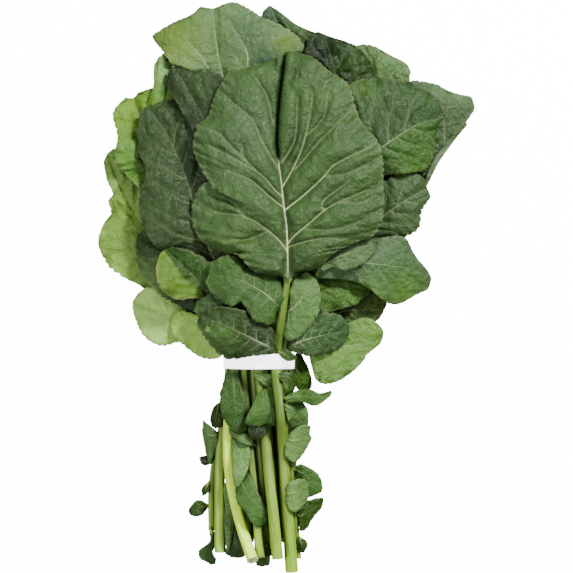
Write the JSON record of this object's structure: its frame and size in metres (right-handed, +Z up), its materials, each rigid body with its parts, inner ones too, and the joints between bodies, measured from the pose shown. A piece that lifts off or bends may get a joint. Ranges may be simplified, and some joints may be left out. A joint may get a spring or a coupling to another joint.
{
  "type": "bunch of turnip greens",
  "caption": "Bunch of leafy greens lying flat: ribbed pale stalks with small side lobes, broad waved blades and a paper band round the stalks.",
  "frame": {"origin": "on the table, under the middle of the bunch's length and width", "axes": "+Y from the cut ends of the stalks towards the tips of the leaves, +X to the right seen from above, +Z up"},
  "size_m": [0.299, 0.4542, 0.0561],
  "materials": {
    "leaf_dark": "soft waxy sheen, pale veins",
    "leaf_blue_green": "soft waxy sheen, pale veins",
    "leaf_green": "soft waxy sheen, pale veins",
    "leaf_light": "soft waxy sheen, pale veins",
    "leaf_yellow_green": "soft waxy sheen, pale veins",
    "paper": "matt white"
  },
  "bodies": {
    "root": {"leaf_back_right": "leaf_light", "leaf_back_tip": "leaf_light", "leaf_right_low_back": "leaf_yellow_green", "leaf_outer_left": "leaf_yellow_green", "leaf_low_left": "leaf_light", "leaf_far_right": "leaf_blue_green", "leaf_right_shoulder": "leaf_dark", "leaf_low_right": "leaf_light", "leaf_curled_left": "leaf_yellow_green", "leaf_top": "leaf_light", "leaf_mid_left": "leaf_dark", "leaf_low_left_front": "leaf_light", "leaf_crinkled": "leaf_dark", "leaf_right": "leaf_green", "leaf_right_folded": "leaf_dark", "leaf_right_low": "leaf_blue_green", "leaf_left_dark": "leaf_blue_green", "leaf_folded_left": "leaf_green", "leaf_left_shoulder": "leaf_green", "leaf_main": "leaf_dark", "paper_tie": "paper"}
  },
  "joints": []
}
